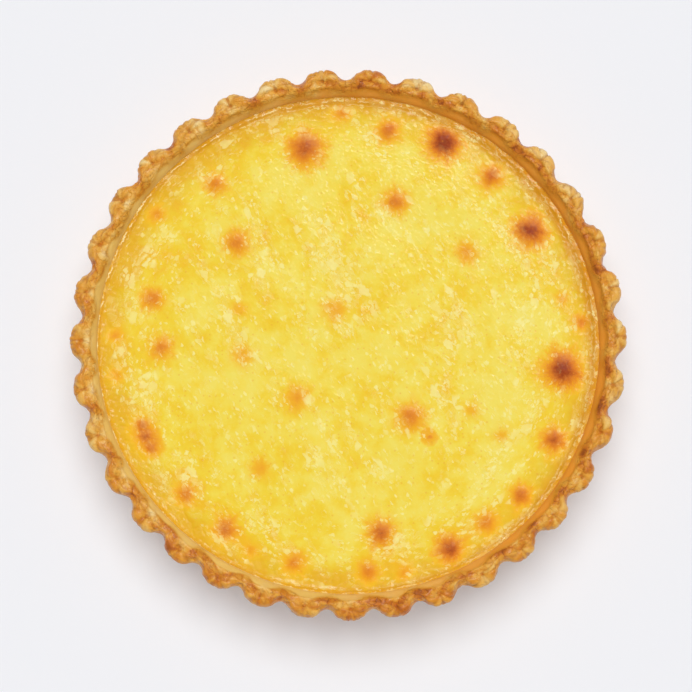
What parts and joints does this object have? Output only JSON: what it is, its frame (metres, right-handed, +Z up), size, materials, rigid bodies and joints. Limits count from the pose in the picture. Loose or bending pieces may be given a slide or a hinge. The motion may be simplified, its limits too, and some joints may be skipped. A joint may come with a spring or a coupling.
{
  "type": "custard tart",
  "caption": "Round custard tart: a fluted pastry case with a flat base, filled almost to its rim with set custard whose skin is browned in raised blisters.",
  "frame": {"origin": "middle of the case's flat underside, on the surface that the tart stands on", "axes": "+Z up out of the custard; +Y towards the side that is at the top of the picture, +X towards its right"},
  "size_m": [0.2, 0.1997, 0.0288],
  "materials": {
    "baked_pastry": "golden-brown baked shortcrust, dry and blistered, with a faint buttery shine on the rim",
    "baked_custard": "yellow set egg custard with a satin, finely wrinkled skin and orange to dark-brown scorched blisters"
  },
  "bodies": {
    "root": {"pastry_case": "baked_pastry", "custard": "baked_custard"}
  },
  "joints": []
}
